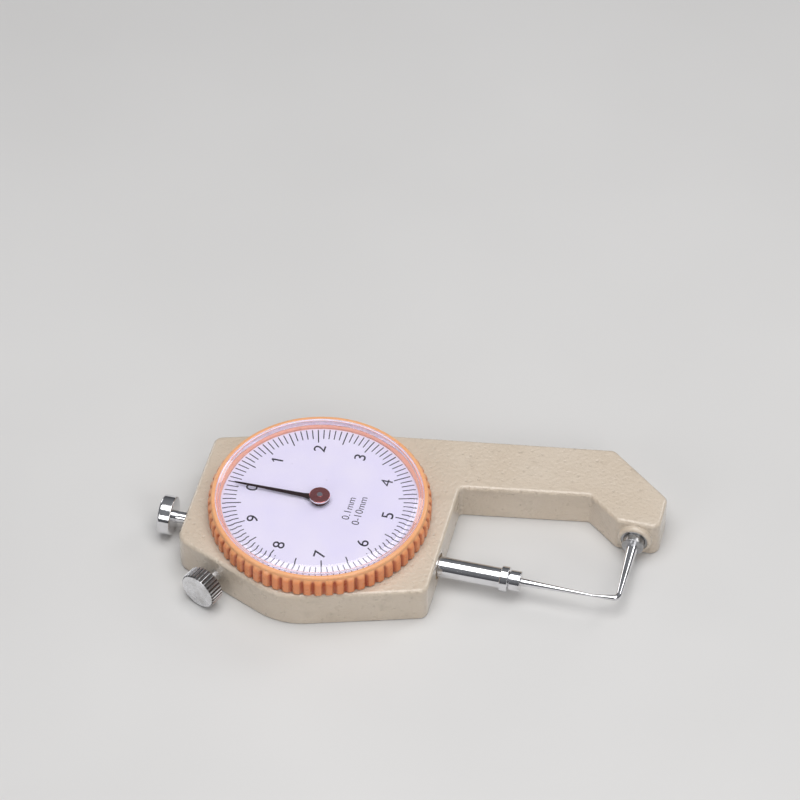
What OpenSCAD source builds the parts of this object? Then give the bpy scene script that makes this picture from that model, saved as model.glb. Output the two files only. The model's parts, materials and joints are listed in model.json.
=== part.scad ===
// Dial thickness gauge. A cast frame holds a hooked anvil, a sliding spindle with a needle contact,
// and a rack and gear movement that turns the pointer once for 10 mm of opening.
// Origin: dial axis on the back face. X runs along the spindle to the anvil, Z points to the dial.

/* [Case] */
// Thickness of the casting
body_t = 10.5; // [9.9:0.1:14]
// Left face of the case from the dial axis
case_left = 32.3; // [31:0.1:36]
// Right face of the case from the dial axis
case_right = 32; // [31:0.1:36]
// Lower end of the left face, below the dial axis
left_low = 17; // [15:0.1:19]
// Upper end of the left face, above the dial axis
left_high = 18.2; // [17:0.1:20]
// Bottom tip, left of the dial axis
bottom_x = 2.6; // [0:0.1:6]
// Bottom tip before rounding, below the dial axis
bottom_y = 29.8; // [29:0.1:33]
// Lower end of the right face, below the dial axis
right_low = 18.9; // [17:0.1:22]
// Top of the case, left of the dial axis
crest_x = 2; // [0:0.1:6]
// Top of the case, above the dial axis
crest_y = 27.4; // [27:0.1:30]
// Radius of the outline's outer corners
corner_r = 2.4; // [1.5:0.1:3]
// Radius of the lower left corner
low_corner_r = 4.5; // [2:0.1:6]
// Radius of the bottom tip
bottom_r = 18; // [8:0.5:20]
// Radius of the two inner corners of the arm
inner_corner_r = 1.2; // [0.5:0.1:3]
// Rounding of the front edges
edge_r = 1; // [0.4:0.1:1.4]
// Rounding of the back edges
back_edge_r = 0.6; // [0.2:0.1:1]

/* [Arm and anvil] */
// Anvil axis from the dial axis
anvil_x = 77.2; // [70:0.1:85]
// Inner corner between the case and the arm, above the dial axis
throat_y = 16.3; // [14:0.1:18]
// Face that carries the anvil, above the dial axis
anvil_face_y = 15.2; // [13:0.1:20]
// Inner knee of the arm, left of the anvil
knee_back = 13; // [11:0.1:15]
// Inner knee of the arm, above the dial axis
knee_y = 21.7; // [21:0.1:25]
// Start of the anvil face, left of the anvil
face_back = 4.7; // [4:0.1:6]
// End of the arm, right of the anvil
arm_over = 6; // [4.5:0.1:9]
// Upper end of the arm's end face, above the dial axis
arm_end_y = 25.6; // [23:0.1:29]
// Peak of the arm, left of the anvil
peak_back = 10.2; // [8:0.1:12]
// Peak of the arm, above the dial axis
peak_y = 38.4; // [36:0.1:42]
// Diameter of the round pad on the anvil face
anvil_pad_d = 8.6; // [8.4:0.1:9.4]
// Height of that pad
anvil_pad_h = 1.3; // [0.5:0.1:2]
// Diameter of the anvil holder
holder_d = 5.5; // [4:0.1:5.6]
// Length of the holder outside the pad
holder_out = 2; // [1:0.1:6]
// Length of the holder inside the arm
holder_in = 8; // [5:0.1:10]
// Diameter of the sunk ring round the holder
socket_d = 6.8; // [6.5:0.1:7.6]
// Depth of the sunk ring
socket_depth = 1; // [0.5:0.1:2]
// Diameter of the anvil point at the holder
anvil_d = 3; // [2.1:0.1:3.4]
// Diameter of the anvil point at its bend
bend_d = 1.5; // [0.7:0.1:1.6]
// Radius of the bend
bend_r = 1.4; // [0.9:0.1:2]
// Reach of the hooked tip from the anvil axis
hook_reach = 6.2; // [4:0.1:8]
// Slope of the hooked tip, in degrees
hook_slope = 6; // [0:0.5:10]
// Diameter of both measuring tips
tip_d = 0.7; // [0.3:0.05:0.8]
// Shank of the anvil point inside the holder, diameter
anvil_shank_d = 1.8; // [1.4:0.1:2]
// Shank of the anvil point inside the holder, length
anvil_shank = 6; // [3:0.1:9]

/* [Spindle] */
// Spindle axis below the dial axis
spindle_y = 5.9; // [5:0.1:6.6]
// Diameter of the front of the spindle
spindle_d = 5.2; // [4.8:0.1:5.6]
// Diameter of the rear of the spindle
rear_d = 3; // [2.5:0.1:3.4]
// Travel of the spindle
travel = 10; // [8:0.5:11]
// Length of spindle outside the right face
spindle_out = 15.8; // [13:0.1:20]
// Rear shoulder of the spindle, left of the dial axis
shoulder_x = 2.2; // [1:0.1:3]
// Gap between the case and the lift button
button_gap = 4; // [2:0.1:6]
// Diameter of the lift button
button_d = 10; // [7:0.1:10.2]
// Length of the lift button
button_l = 3.4; // [3:0.1:8]
// Length of the rod inside the button
button_hold = 2.2; // [1.6:0.1:2.6]
// Rounding of the lift button's outer edge
button_r = 0.7; // [0.2:0.1:1.2]
// Rounding of the lift button's inner edge
button_lip = 0.25; // [0.1:0.05:0.6]
// Diameter of the clamp ring
ring_d = 6.4; // [5.8:0.1:8]
// Length of the clamp ring
ring_l = 2; // [1:0.1:3]
// Diameter of the contact's base
base_d = 5.2; // [4:0.1:6]
// Length of the contact's base
base_l = 2.7; // [2:0.1:4]
// Width of the groove behind the contact's base
groove_w = 0.3; // [0.2:0.1:0.6]
// Diameter of the needle at its root
needle_d = 2; // [1:0.1:2.6]
// Diameter of the contact's stud
stud_d = 2; // [1.6:0.1:2.4]
// Length of the stud inside the spindle
stud_l = 4; // [3:0.1:8]
// Wall of the spindle bushes
bush_wall = 0.8; // [0.6:0.1:1.2]
// Depth of the bushes below the outer faces
bush_sunk = 0.6; // [0.2:0.1:1]
// Diameter of the guide and spring pins
pin_d = 1.2; // [0.8:0.1:1.4]
// Guide pin from the dial axis, along the spindle
guide_x = 8; // [7:0.1:9]
// Spring pin, left of the dial axis
spring_pin_x = 3.2; // [3:0.1:4]

/* [Lock screw] */
// Distance of the lock screw from the lower left corner
lock_along = 12.3; // [10:0.1:14]
// Diameter of the lock screw
lock_d = 3; // [2.5:0.1:3.4]
// Diameter of the knurled head
lock_head_d = 10; // [8:0.1:10.3]
// Thickness of the knurled head
lock_head_t = 4; // [3:0.1:6]
// Gap between the case and the head
lock_head_gap = 3.2; // [1.5:0.1:4]
// Length of the lock screw inside the case
lock_shank = 6; // [4:0.1:8]
// Diameter of the lock pad
pad_d = 2.6; // [2:0.1:2.8]
// Ridges round the head
knurl_count = 32; // [20:1:40]
// Depth of the knurl
knurl_depth = 0.35; // [0.2:0.05:0.5]

/* [Movement] */
// Teeth of the pinion on the rack
rack_teeth = 16; // [15:1:18]
// Teeth of the drive and take-up wheels
wheel_teeth = 36; // [34:1:38]
// Teeth of the centre pinion
centre_teeth = 18; // [17:1:19]
// Module of the wheels and the centre pinion
wheel_module = 0.45; // [0.43:0.005:0.47]
// Opening for one turn of the pointer
turn_mm = 10; // [9.5:0.1:10.5]
// Play between meshing teeth
backlash = 0.08; // [0.05:0.01:0.15]
// Depth of the rack's tips below the rod's surface
rack_flat = 0.75; // [0.6:0.05:0.9]
// Length of the rack pinion
rack_pinion_l = 3.2; // [2:0.1:3.4]
// Thickness of the wheels
wheel_t = 0.7; // [0.5:0.05:1]
// Thickness of the movement and bridge plates
plate_t = 0.8; // [0.6:0.05:0.85]
// Diameter of the arbors
arbor_d = 1.4; // [1.2:0.1:1.6]
// Diameter of the pivots
pivot_d = 0.8; // [0.6:0.1:1]
// Diameter of the collars that carry the wheels
collar_d = 3; // [2.4:0.1:4]
// Diameter of the pivot bushes
pivot_bush_d = 2.4; // [2.2:0.1:3]
// Diameter of the pillars
pillar_d = 3; // [2.6:0.1:3.4]
// Diameter of the small screws
screw_d = 1.4; // [1.2:0.1:1.6]
// Diameter of the small screws' heads
screw_head_d = 2.6; // [2.2:0.1:2.8]
// Height of the small screws' heads
screw_head_h = 0.6; // [0.4:0.05:0.6]
// Return spring axis above the dial axis
return_y = 4; // [3.5:0.1:4.5]
// Spring post from the dial axis
post_x = 14; // [13:0.1:15]
// Diameter of the spring post
post_d = 1.6; // [1.2:0.1:2]
// Mean diameter of the return spring's coils
coil_d = 2.6; // [2:0.1:2.8]
// Wire of the return spring
coil_wire = 0.4; // [0.3:0.05:0.5]
// Turns of the return spring
coil_turns = 14; // [8:1:18]
// Height of the hairspring strip
hair_h = 0.6; // [0.4:0.05:0.8]
// Thickness of the hairspring strip
hair_t = 0.15; // [0.1:0.01:0.25]
// Outer radius of the hairspring
hair_r = 5.2; // [4:0.1:6]
// Turns of the hairspring
hair_turns = 4; // [3:1:5]

/* [Bezel and dial] */
// Wall of the collar that carries the bezel
collar_wall = 3.1; // [2.6:0.1:3.4]
// Height of the collar above the case
collar_h = 2.7; // [2.5:0.1:4]
// Wall of the bezel at its ribs
bezel_wall = 2.85; // [2.5:0.05:3.2]
// Height of the bezel's ribbed skirt
skirt_h = 4.7; // [3:0.1:5]
// Height of the smooth rim above the skirt
rim_h = 0.9; // [0.8:0.1:2]
// Rounding of the rim
rim_r = 0.6; // [0.2:0.05:0.7]
// Step from the ribs in to the smooth rim
rim_step = 0.2; // [0.1:0.05:0.3]
// Ribs round the bezel
rib_count = 64; // [48:1:72]
// Depth of the grooves between ribs
rib_depth = 0.6; // [0.3:0.05:0.8]
// Radius of the grooves between ribs
rib_groove_r = 0.65; // [0.5:0.05:0.8]
// Lean of the grooves out to the rim
rib_lean = 4; // [2:0.5:6]
// Thickness of the dial plate
dial_t = 0.5; // [0.3:0.05:0.8]
// Width of the bezel's ledge above the dial plate
ledge_w = 0.75; // [0.5:0.05:1]
// Thickness of that ledge
ledge_t = 0.6; // [0.4:0.05:1]
// Width of the crystal's seat on the ledge
seat_w = 1.6; // [1:0.1:1.8]
// Height of the crystal's side wall
crystal_side = 1.9; // [1.7:0.1:3]
// Height of the crystal's bevel
crystal_bevel = 1.2; // [0.6:0.1:1.5]
// Width of the crystal's bevel
crystal_bevel_w = 2.6; // [0.8:0.1:3]
// Wall of the crystal's side
crystal_wall = 0.9; // [0.7:0.05:1.2]
// Thickness of the crystal
crystal_t = 1; // [0.8:0.1:1.2]
// Diameter of the bezel wire
wire_d = 0.8; // [0.6:0.05:1]
// Hole in the dial plate
dial_hole_d = 3.6; // [3:0.1:5]

/* [Pointer] */
// Length of the pointer from its axis
pointer_l = 22; // [15:0.5:22.5]
// Width of the pointer at the hub
pointer_w = 2.1; // [1.4:0.1:3]
// Width of the pointer near its tip
pointer_tip_w = 0.3; // [0.2:0.1:0.8]
// Thickness of the pointer
pointer_t = 0.3; // [0.2:0.05:0.4]
// Direction of the pointer at rest
pointer_rest = 181.3; // [170:0.1:190]
// Diameter of the cap on the pointer
cap_d = 5.2; // [4:0.1:6]
// Height of the cap
cap_h = 0.6; // [0.4:0.05:0.7]
// Diameter of the bush below the pointer
hub_d = 4.2; // [3:0.1:5]
// Height of the bush below the pointer
hub_h = 0.4; // [0.3:0.05:0.8]

/* [Back cover] */
// Thickness of the back cover
cover_t = 1; // [0.8:0.05:1.1]
// Width of the ledge that carries the cover
cover_ledge = 3.5; // [3:0.1:3.8]
// Diameter of the cover screws
cover_screw_d = 1.6; // [1.2:0.1:1.8]
// Diameter of the cover screws' heads
cover_head_d = 2.8; // [2.4:0.1:3]
// Length of the cover screws below the cover
cover_screw_l = 4; // [3:0.1:5]

/* [Clearances] */
// Running clearance of shafts in bushes, on the radius
run_gap = 0.03; // [0.02:0.01:0.08]
// Clearance of fixed pieces in their holes, on the radius
fit_gap = 0.02; // [0.01:0.01:0.05]
// Gap between pieces that pass each other
free_gap = 0.4; // [0.3:0.05:0.45]
// Gap between the closed measuring tips
tip_gap = 0.05; // [0.02:0.01:0.1]

/* [Hidden] */
$fn = 64;

// Colours
cream = [0.80, 0.75, 0.66];
orange = [0.91, 0.56, 0.36];
chrome = [0.80, 0.81, 0.83];
steel = [0.62, 0.63, 0.65];
brass = [0.79, 0.66, 0.35];
black = [0.07, 0.07, 0.08];
white = [0.95, 0.94, 0.97];
clear = [0.85, 0.90, 0.95, 0.35];

// Overlap of cutting shapes past the faces that they cut
past = 1;
deg_per_rad = 180 / PI;

// Levels from the back face to the front
mid_z = body_t / 2;
plate_top = mid_z - spindle_d / 2 - free_gap;
plate_z = plate_top - plate_t;
wheel_z = mid_z + spindle_d / 2 + free_gap;
wheel_top = wheel_z + wheel_t;
hair_z = wheel_top + free_gap;
bridge_z = hair_z + hair_h + free_gap;
bridge_top = bridge_z + plate_t;
collar_top = body_t + collar_h;
dial_z = collar_top + free_gap;
dial_top = dial_z + dial_t;
ledge_top = dial_top + ledge_t;
hub_z = dial_top + free_gap;
blade_z = hub_z + hub_h;
cap_z = blade_z + pointer_t;
arbor_over = 0.2;
arbor_end = cap_z + cap_h + arbor_over;
crystal_shoulder = ledge_top + crystal_side;
crystal_top = crystal_shoulder + crystal_bevel;
crystal_under = crystal_top - crystal_t;

// Gear train
press_angle = 20;
rack_r = turn_mm * wheel_teeth / centre_teeth / (2 * PI);
rack_module = 2 * rack_r / rack_teeth;
rack_pitch = PI * rack_module;
root_depth = 1.25;
rack_height = 0.9;
rack_add = rack_height * rack_module;
rack_ded = root_depth * rack_module;
rack_line = spindle_d / 2 - rack_flat - rack_add;
wheel_r = wheel_module * wheel_teeth / 2;
centre_r = wheel_module * centre_teeth / 2;
centre_dist = wheel_r + centre_r;
gear_y = -(spindle_y + rack_line + rack_r);
gear_x = sqrt(centre_dist * centre_dist - gear_y * gear_y);
gear_at = [gear_x, gear_y];
drive_dir = atan2(gear_y, gear_x);
half_turn_in_half_teeth = 2 * floor(centre_teeth / 2) + 1;
take_dir = drive_dir + half_turn_in_half_teeth * 180 / centre_teeth;
take_at = centre_dist * [cos(take_dir), sin(take_dir)];
arbors = [[0, 0], gear_at, take_at];
rack_run = ceil(rack_r / rack_pitch);
rack_last = ceil(travel / rack_pitch) + rack_run;

// Radii outwards from the movement to the ribs of the bezel
cavity_gap = 0.8;
cavity_r = centre_dist + wheel_r + wheel_module + cavity_gap;
cover_r = cavity_r + cover_ledge;
collar_r = cavity_r + collar_wall;
bezel_in = collar_r + free_gap;
bezel_out = bezel_in + bezel_wall;
dial_fit = 0.2;
dial_r = bezel_in - dial_fit;
ledge_r = bezel_in - ledge_w;
crystal_r = ledge_r + seat_w;
crystal_fit = 0.15;
wire_proud = 0.15;
wire_r = collar_r + wire_proud;
wire_up = 1.6;
wire_z = body_t + wire_up;
skirt_gap = 0.3;
skirt_z = body_t + skirt_gap;
skirt_top = skirt_z + skirt_h;
rim_top = skirt_top + rim_h;

// Places on the movement plate
boss_in = 1.7;
boss_r = cavity_r - boss_in;
boss_d = 4.8;
boss_h = 4;
boss_angles = [45, 165, 300];
pillar_at = [[13.5, 8.5], [-17.2, -0.5], [-6, -15.5]];
window_d = 9;
window_at = [[2, 11], [-8, -6], [11, 0]];
plate_room = 0.2;
plate_r = cavity_r - plate_room;
bridge_room = 2;
bridge_r = cavity_r - bridge_room;
pillar_hole = 3;
spigot_d = 1.6;
end_play = 0.1;
screw_tip_room = 0.4;
cover_screw_r = cavity_r + cover_ledge / 2;
cover_screw_dir = 60;
cover_screws = 4;

// Spindle along X
rod_end = case_right + spindle_out;
contact_x = rod_end + ring_l + groove_w;
needle_x = contact_x + base_l;
hook_x = anvil_x - hook_reach;
anvil_pad_y = anvil_face_y - anvil_pad_h;
anvil_root_y = anvil_pad_y - holder_out;
button_x = -case_left - button_gap - button_l;
bore_in = sqrt(cavity_r * cavity_r - spindle_y * spindle_y);

// Case outline, each corner with its radius, anticlockwise from the lower left
corners = [
  [[-case_left, -left_low], low_corner_r],
  [[-bottom_x, -bottom_y], bottom_r],
  [[case_right, -right_low], corner_r],
  [[case_right, throat_y], inner_corner_r],
  [[anvil_x - knee_back, knee_y], inner_corner_r],
  [[anvil_x - face_back, anvil_face_y], corner_r],
  [[anvil_x + arm_over, anvil_face_y], corner_r],
  [[anvil_x + arm_over, arm_end_y], corner_r],
  [[anvil_x - peak_back, peak_y], corner_r],
  [[-crest_x, crest_y], corner_r],
  [[-case_left, left_high], corner_r]];
arc_steps = 6;

function unit(v) = v / norm(v);
function left_of(v) = [-v[1], v[0]];
function turned(v, a) = [v[0] * cos(a) - v[1] * sin(a), v[0] * sin(a) + v[1] * cos(a)];

// Lock screw, square to the lower left face and aimed at the spindle
lock_edge = unit(corners[1][0] - corners[0][0]);
lock_in = left_of(lock_edge);
lock_at = corners[0][0] + lock_along * lock_edge;
lock_dir = atan2(lock_in[1], lock_in[0]);
lock_run = (-spindle_y - lock_at[1]) / lock_in[1];
pad_gap = 0.1;

// Points round one corner of the outline, moved inwards by inset
function corner_arc(before, at, after, r, inset) =
  let (u1 = unit(at - before))
  let (u2 = unit(after - at))
  let (n1 = left_of(u1))
  let (n2 = left_of(u2))
  let (turn = atan2(cross(u1, u2), u1 * u2))
  let (side = turn > 0 ? 1 : -1)
  let (inset_r = r - side * inset)
  let (corner = at + inset * (n1 + n2) / (1 + n1 * n2))
  let (start = corner - u1 * inset_r * tan(abs(turn) / 2))
  let (centre = start + side * inset_r * n1)
  [for (k = [0 : arc_steps]) centre + turned(start - centre, turn * k / arc_steps)];

function outline(inset) =
  let (n = len(corners))
  [for (i = [0 : n - 1])
    let (before = corners[(i + n - 1) % n][0])
    let (after = corners[(i + 1) % n][0])
    each corner_arc(before, corners[i][0], after, corners[i][1], inset)];

// Faces of a closed skin over rings of n points, with the given faces over its first and last ring
function skin_faces(rings, n, cap) = concat(
  cap,
  [for (j = [0 : rings - 2], i = [0 : n - 1])
    let (next = (i + 1) % n)
    each [[j * n + i, (j + 1) * n + i, (j + 1) * n + next], [j * n + i, (j + 1) * n + next, j * n + next]]],
  [for (face = cap) [for (k = [len(face) - 1 : -1 : 0]) (rings - 1) * n + face[k]]]);

function fan(from, points) = [for (k = [0 : len(points) - 2]) [from, points[k], points[k + 1]]];

// Places of the arm's knee and crest among the corners
knee_corner = 4;
crest_corner = 9;

// Triangles over the outline, fanned from the crest and from the peak of the arm, which see it all
function outline_cap() =
  let (per_corner = arc_steps + 1)
  let (knee = knee_corner * per_corner)
  let (crest = crest_corner * per_corner)
  concat(
    fan(crest, concat([for (i = [crest + 1 : len(corners) * per_corner - 1]) i], [for (i = [0 : knee]) i])),
    fan(crest - 1, concat([crest], [for (i = [knee : crest - 2]) i])));

// Casting blank with rounded edges, as levels of the outline
module case_blank() {
  back = [for (a = [90, 45, 0]) [back_edge_r * (1 - sin(a)), back_edge_r * (1 - cos(a))]];
  front = [for (a = [0 : 22.5 : 90]) [body_t - edge_r * (1 - sin(a)), edge_r * (1 - cos(a))]];
  levels = concat(back, front);
  rings = [for (level = levels) [for (p = outline(level[1])) [p[0], p[1], level[0]]]];
  polyhedron([for (ring = rings) each ring], skin_faces(len(rings), len(rings[0]), outline_cap()));
}

// Frames to draw a piece along the spindle, the lock screw, the anvil and round the dial axis
module along_spindle(x) {
  translate([x, -spindle_y, mid_z]) rotate([0, 90, 0]) children();
}

module along_lock(depth) {
  translate([each lock_at + depth * lock_in, mid_z]) rotate([0, 90, lock_dir]) children();
}

module along_anvil(y) {
  translate([anvil_x, y, mid_z]) rotate([90, 0, 0]) children();
}

module round_places(r, angles) {
  for (a = angles) translate([r * cos(a), r * sin(a), 0]) children();
}

module at_places(places) {
  for (p = places) translate([p[0], p[1], 0]) children();
}

function cover_angles() = [for (i = [0 : cover_screws - 1]) cover_screw_dir + i * 360 / cover_screws];

// Countersunk screw standing on its head
module sunk_screw(d, head_d, head_h, length) {
  cylinder(h = head_h, d1 = head_d, d2 = d);
  cylinder(h = length, d = d);
}

module plate_bosses() {
  translate([0, 0, plate_top]) round_places(boss_r, boss_angles) cylinder(h = boss_h, d = boss_d);
}

// Casting
module frame_casting() {
  color(cream) difference() {
    union() {
      difference() {
        union() {
          case_blank();
          translate([0, 0, body_t - past]) cylinder(h = collar_h + past, r = collar_r);
          along_anvil(anvil_face_y + past) cylinder(h = anvil_pad_h + past, d = anvil_pad_d);
        }
        translate([0, 0, -past]) cylinder(h = collar_top + 2 * past, r = cavity_r);
      }
      plate_bosses();
    }
    translate([0, 0, -past]) cylinder(h = cover_t + past, r = cover_r + fit_gap);
    round_places(cover_screw_r, cover_angles())
      cylinder(h = cover_t + cover_screw_l + fit_gap, d = cover_screw_d + 2 * fit_gap);
    round_places(boss_r, boss_angles)
      cylinder(h = plate_top + boss_h - fit_gap, d = screw_d + 2 * fit_gap);
    along_spindle(cavity_r / 2) cylinder(h = case_right, d = spindle_d + 2 * bush_wall + 2 * fit_gap);
    along_spindle(-case_left - past)
      cylinder(h = case_left - cavity_r / 2, d = rear_d + 2 * bush_wall + 2 * fit_gap);
    along_lock(-past) cylinder(h = lock_run + past, d = lock_d + 2 * run_gap);
    along_anvil(anvil_face_y + holder_in + fit_gap)
      cylinder(h = holder_in + anvil_pad_h + past, d = holder_d + 2 * fit_gap);
    along_anvil(anvil_pad_y + socket_depth) cylinder(h = socket_depth + past, d = socket_d);
    rotate_extrude() translate([wire_r, wire_z]) circle(d = wire_d + 2 * fit_gap);
  }
}

module back_cover() {
  color(steel) difference() {
    cylinder(h = cover_t, r = cover_r);
    round_places(cover_screw_r, cover_angles()) {
      cylinder(h = screw_head_h, d1 = cover_head_d + 2 * fit_gap, d2 = cover_screw_d + 2 * fit_gap);
      cylinder(h = cover_t + past, d = cover_screw_d + 2 * fit_gap);
    }
  }
}

module back_cover_screws() {
  color(steel) round_places(cover_screw_r, cover_angles())
    sunk_screw(cover_screw_d, cover_head_d, screw_head_h, cover_t + cover_screw_l);
}

// Spindle bush with its inner end in the cavity
module bush(x, length, bore_d) {
  color(brass) along_spindle(x) difference() {
    cylinder(h = length, d = bore_d + 2 * bush_wall);
    translate([0, 0, -past]) cylinder(h = length + 2 * past, d = bore_d + 2 * run_gap);
  }
}

module front_bush() {
  bush(bore_in, case_right - bush_sunk - bore_in, spindle_d);
}

module rear_bush() {
  bush(-case_left + bush_sunk, case_left - bush_sunk - bore_in, rear_d);
}

module anvil_holder() {
  color(steel) difference() {
    along_anvil(anvil_face_y + holder_in)
      cylinder(h = holder_in + anvil_pad_h + holder_out, d = holder_d);
    along_anvil(anvil_root_y + anvil_shank + fit_gap)
      cylinder(h = anvil_shank + past, d = anvil_shank_d + 2 * fit_gap);
  }
}

// Tapered pin that bends and slopes down to meet the needle
module anvil_point() {
  bend_angle = 90 - hook_slope;
  hook_l = (hook_reach - bend_r * (1 - sin(hook_slope))) / cos(hook_slope);
  bend_y = bend_r * cos(hook_slope) + hook_l * sin(hook_slope) - spindle_y;
  seam = 0.1;
  color(chrome) union() {
    along_anvil(anvil_root_y + anvil_shank) cylinder(h = anvil_shank, d = anvil_shank_d);
    along_anvil(anvil_root_y)
      cylinder(h = anvil_root_y - bend_y + seam, d1 = anvil_d, d2 = bend_d - 2 * fit_gap);
    translate([anvil_x - bend_r, bend_y, mid_z]) {
      rotate(-bend_angle) rotate_extrude(angle = bend_angle) translate([bend_r, 0]) circle(d = bend_d);
      rotate(-bend_angle) translate([bend_r, seam, 0]) rotate([90, 0, 0])
        cylinder(h = hook_l + seam, d1 = bend_d - 2 * fit_gap, d2 = tip_d);
    }
  }
}

// Plates
module movement_plate() {
  slot_end = guide_x - travel;
  slot_w = pin_d + 2 * run_gap;
  color(brass) translate([0, 0, plate_z]) difference() {
    cylinder(h = plate_t, r = plate_r);
    translate([0, 0, -past]) {
      round_places(boss_r, boss_angles) cylinder(h = plate_t + 2 * past, d = screw_d + 2 * fit_gap);
      at_places(arbors) cylinder(h = plate_t + 2 * past, d = pivot_bush_d + 2 * fit_gap);
      at_places(pillar_at) cylinder(h = plate_t + 2 * past, d = spigot_d + 2 * fit_gap);
      translate([post_x, return_y, 0]) cylinder(h = plate_t + 2 * past, d = post_d + 2 * fit_gap);
      translate([guide_x + end_play, -spindle_y, 0]) cylinder(h = plate_t + 2 * past, d = slot_w);
      translate([slot_end - end_play, -spindle_y, 0]) cylinder(h = plate_t + 2 * past, d = slot_w);
      translate([slot_end - end_play, -spindle_y - slot_w / 2, 0])
        cube([travel + 2 * end_play, slot_w, plate_t + 2 * past]);
    }
    round_places(boss_r, boss_angles)
      cylinder(h = screw_head_h, d1 = screw_head_d + 2 * fit_gap, d2 = screw_d + 2 * fit_gap);
  }
}

module movement_plate_screws() {
  color(steel) translate([0, 0, plate_z]) round_places(boss_r, boss_angles)
    sunk_screw(screw_d, screw_head_d, screw_head_h, plate_t + boss_h - screw_tip_room);
}

module pillars() {
  color(steel) at_places(pillar_at) difference() {
    union() {
      translate([0, 0, plate_z]) cylinder(h = plate_t + past, d = spigot_d);
      translate([0, 0, plate_top]) cylinder(h = bridge_z - plate_top, d = pillar_d);
    }
    translate([0, 0, bridge_z - pillar_hole]) cylinder(h = pillar_hole + past, d = screw_d + 2 * fit_gap);
  }
}

module bridge_plate() {
  color(brass) translate([0, 0, bridge_z]) difference() {
    cylinder(h = plate_t, r = bridge_r);
    translate([0, 0, -past]) {
      at_places(window_at) cylinder(h = plate_t + 2 * past, d = window_d);
      at_places(pillar_at) cylinder(h = plate_t + 2 * past, d = screw_d + 2 * fit_gap);
      at_places(arbors) cylinder(h = plate_t + 2 * past, d = pivot_bush_d + 2 * fit_gap);
    }
  }
}

module bridge_screws() {
  color(steel) at_places(pillar_at) {
    translate([0, 0, bridge_top]) cylinder(h = screw_head_h, d = screw_head_d);
    translate([0, 0, bridge_z - pillar_hole + screw_tip_room])
      cylinder(h = plate_t + pillar_hole, d = screw_d);
  }
}

module pivot_bush(bore_d) {
  difference() {
    cylinder(h = plate_t, d = pivot_bush_d);
    translate([0, 0, -past]) cylinder(h = plate_t + 2 * past, d = bore_d + 2 * run_gap);
  }
}

module lower_pivot_bushes() {
  color(brass) translate([0, 0, plate_z]) at_places(arbors) pivot_bush(pivot_d);
}

module upper_pivot_bushes() {
  color(brass) translate([0, 0, bridge_z]) {
    pivot_bush(arbor_d);
    at_places([gear_at, take_at]) pivot_bush(pivot_d);
  }
}

module spring_post() {
  color(steel) translate([post_x, return_y, plate_z])
    cylinder(h = mid_z + coil_d / 2 - plate_z, d = post_d);
}

// Tube of round wire along a path, with its section carried along without twist
module wire_along(path, wire, sides) {
  n = len(path);
  tangents = [for (i = [0 : n - 1]) unit(path[min(i + 1, n - 1)] - path[max(i - 1, 0)])];
  normals = [for (i = 0, v = cross(tangents[0], [0, 1, 0.1]); i < n;
    i = i + 1, v = i < n ? unit(v - (v * tangents[i]) * tangents[i]) : v)
    unit(v - (v * tangents[i]) * tangents[i])];
  rings = [for (i = [0 : n - 1]) [for (k = [0 : sides - 1])
    let (a = -k * 360 / sides)
    path[i] + wire / 2 * (cos(a) * normals[i] + sin(a) * cross(tangents[i], normals[i]))]];
  cap = [[for (k = [0 : sides - 1]) k]];
  polyhedron([for (ring = rings) each [for (k = [sides - 1 : -1 : 0]) ring[k]]], skin_faces(n, sides, cap));
}

// Extension spring with a loop at each end, one round the spring pin and one round the post
module return_spring() {
  pin_loop_r = (pin_d + coil_wire) / 2 + fit_gap;
  post_loop_r = (post_d + coil_wire) / 2 + fit_gap;
  leg = 0.9;
  first = -spring_pin_x + pin_loop_r + leg;
  last = post_x - post_loop_r - leg;
  turn_steps = 12;
  coil_steps = coil_turns * turn_steps;
  pin_loop = [for (a = [330 : -30 : 60])
    [-spring_pin_x + pin_loop_r * cos(a), return_y, mid_z + pin_loop_r * sin(a)]];
  coil = [for (k = [0 : coil_steps])
    let (a = 90 + k * 360 / turn_steps)
    [first + (last - first) * k / coil_steps, return_y + coil_d / 2 * cos(a), mid_z + coil_d / 2 * sin(a)]];
  post_loop = [for (a = [120 : 30 : 390])
    [post_x + post_loop_r * cos(a), return_y - post_loop_r * sin(a), mid_z + coil_d / 4]];
  color(steel) wire_along(concat(pin_loop, coil, post_loop), coil_wire, 6);
}

// Flat spiral from the collet out to the stud
module hairspring() {
  inner_r = collar_d / 2 + hair_t / 2 + fit_gap;
  steps = hair_turns * 24;
  middle = [for (k = [0 : steps])
    let (r = inner_r + (hair_r - inner_r) * k / steps)
    let (a = 180 + k * 15)
    [r, a]];
  outside = [for (p = middle) (p[0] + hair_t / 2) * [cos(p[1]), sin(p[1])]];
  inside = [for (k = [steps : -1 : 0]) (middle[k][0] - hair_t / 2) * [cos(middle[k][1]), sin(middle[k][1])]];
  color(steel) translate([take_at[0], take_at[1], hair_z]) linear_extrude(hair_h)
    polygon(concat(outside, inside));
}

module hairspring_stud() {
  stud_post_d = 1;
  reach = hair_r + hair_t / 2 + stud_post_d / 2 + fit_gap;
  color(steel) translate([take_at[0] - reach, take_at[1], hair_z])
    cylinder(h = bridge_z - hair_z, d = stud_post_d);
}

module bezel_wire() {
  wire_split = 20;
  color(steel) rotate_extrude(angle = 360 - wire_split) translate([wire_r, wire_z]) circle(d = wire_d);
}

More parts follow.
